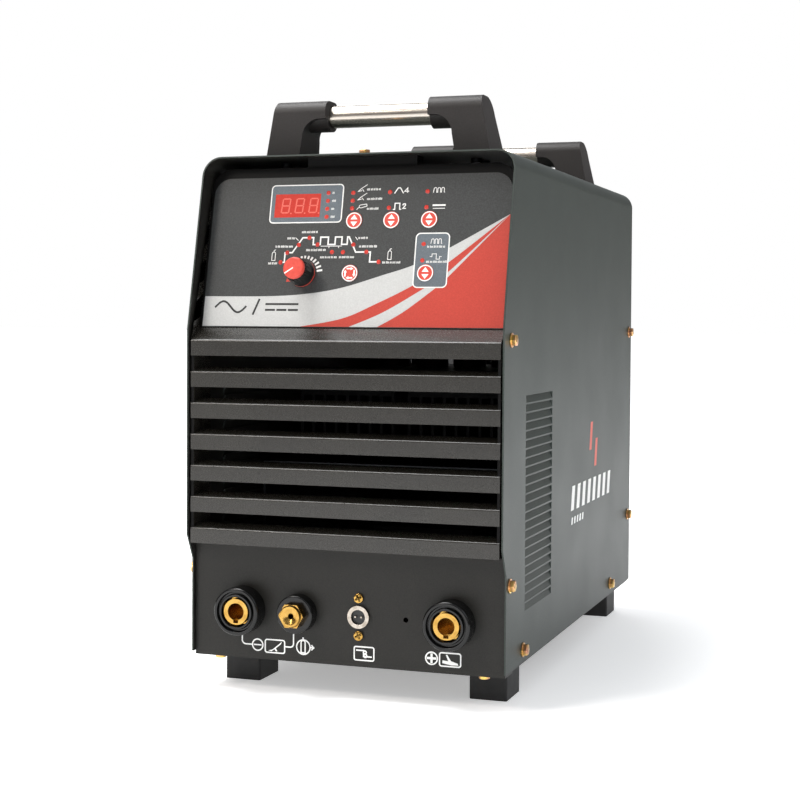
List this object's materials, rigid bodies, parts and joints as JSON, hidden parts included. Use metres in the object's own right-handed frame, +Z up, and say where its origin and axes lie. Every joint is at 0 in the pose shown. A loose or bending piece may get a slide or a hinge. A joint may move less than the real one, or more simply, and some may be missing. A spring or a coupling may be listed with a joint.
{
  "type": "tig welding machine",
  "caption": "Upright inverter welding machine with a leaning control panel, front louvres, plug sockets, side vents, two top handles and a rear fan.",
  "frame": {"origin": "centre of the bounding box, on the plane of the feet", "axes": "+X to the operator's right as seen from the front, +Y from the front to the rear, +Z up"},
  "size_m": [0.264, 0.5102, 0.466],
  "materials": {
    "cover_coat": "fine-textured grey-green powder coat",
    "plate_coat": "satin black-grey powder coat",
    "zinc_steel": "zinc-plated sheet",
    "front_abs": "satin moulded ABS",
    "overlay_film": "printed polycarbonate film",
    "red_lens": "red display filter",
    "lamp_red": "diffused lamp lens",
    "key_red": "red key cap",
    "knob_black": "ribbed black plastic",
    "board_green": "circuit board",
    "black_plastic": "moulded black plastic",
    "socket_black": "glossy moulded nylon",
    "brass": "machined brass",
    "yellow_zinc": "yellow-passivated zinc",
    "handle_black": "fine-textured moulded plastic",
    "tube_aluminium": "satin anodised tube",
    "foot_rubber": "moulded rubber",
    "bright_steel": "ground steel",
    "guard_wire": "bright wire",
    "alloy": "extruded aluminium",
    "ferrite": "ferrite",
    "copper": "copper",
    "capacitor_sleeve": "shrink sleeve",
    "hose_rubber": "rubber hose",
    "blank_label": "blank plate"
  },
  "bodies": {
    "case": {"cover": "cover_coat", "base_tray": "plate_coat", "front_plate": "plate_coat", "front_moulding": "front_abs", "rear_panel": "cover_coat", "control_overlay": "overlay_film", "display_window": "red_lens", "display_module": "black_plastic", "control_board": "board_green", "indicator_leds": "lamp_red", "key_switches": "black_plastic", "encoder_body": "bright_steel", "negative_collar": "socket_black", "negative_insert": "brass", "positive_collar": "socket_black", "positive_insert": "brass", "torch_collar": "socket_black", "torch_connector": "brass", "signal_ring": "bright_steel", "signal_insert": "black_plastic", "signal_screws": "yellow_zinc", "front_handle_brackets": "handle_black", "front_grip_tube": "tube_aluminium", "rear_handle_brackets": "handle_black", "rear_grip_tube": "tube_aluminium", "handle_screws": "yellow_zinc", "feet": "foot_rubber", "base_screws": "yellow_zinc", "case_bolts": "yellow_zinc", "case_washers": "yellow_zinc", "fan_frame": "black_plastic", "fan_guard": "guard_wire", "breaker_body": "black_plastic", "cable_gland": "black_plastic", "gas_inlet": "brass", "solenoid_valve": "brass", "gas_hose": "hose_rubber", "earth_stud": "yellow_zinc", "rating_plate": "blank_label", "inner_shelf": "zinc_steel", "heat_sinks": "alloy", "power_modules": "black_plastic", "power_board": "board_green", "capacitors": "capacitor_sleeve", "transformer_core": "ferrite", "transformer_winding": "copper", "output_inductor": "copper", "output_straps": "copper", "fan_screws": "yellow_zinc", "current_sensor": "black_plastic"},
    "key_1": {"key_1": "key_red"},
    "key_2": {"key_2": "key_red"},
    "key_3": {"key_3": "key_red"},
    "key_4": {"key_4": "key_red"},
    "key_5": {"key_5": "key_red"},
    "knob": {"knob_body": "knob_black", "knob_cap": "key_red", "encoder_shaft": "bright_steel"},
    "fan": {"fan_rotor": "black_plastic"},
    "lever": {"breaker_lever": "black_plastic"}
  },
  "joints": [
    {"name": "key_1_press", "type": "slide", "parent": "case", "child": "key_1", "axis": [0, 0.977, -0.213], "range_m": [0, 0.0005], "stiffness_N_per_m": 1500},
    {"name": "key_2_press", "type": "slide", "parent": "case", "child": "key_2", "axis": [0, 0.977, -0.213], "range_m": [0, 0.0005], "stiffness_N_per_m": 1500},
    {"name": "key_3_press", "type": "slide", "parent": "case", "child": "key_3", "axis": [0, 0.977, -0.213], "range_m": [0, 0.0005], "stiffness_N_per_m": 1500},
    {"name": "key_4_press", "type": "slide", "parent": "case", "child": "key_4", "axis": [0, 0.977, -0.213], "range_m": [0, 0.0005], "stiffness_N_per_m": 1500},
    {"name": "key_5_press", "type": "slide", "parent": "case", "child": "key_5", "axis": [0, 0.977, -0.213], "range_m": [0, 0.0005], "stiffness_N_per_m": 1500},
    {"name": "knob_turn", "type": "hinge", "parent": "case", "child": "knob", "pos_m": [-0.0413, -0.22493, 0.32556], "axis": [0, -0.977, 0.213], "continuous": true},
    {"name": "fan_spin", "type": "hinge", "parent": "case", "child": "fan", "pos_m": [0, 0.2111, 0.25], "axis": [0, 1, 0], "continuous": true},
    {"name": "supply_switch", "type": "hinge", "parent": "case", "child": "lever", "pos_m": [-0.072, 0.2271, 0.3557], "axis": [1, 0, 0], "range_deg": [0, 40]}
  ]
}
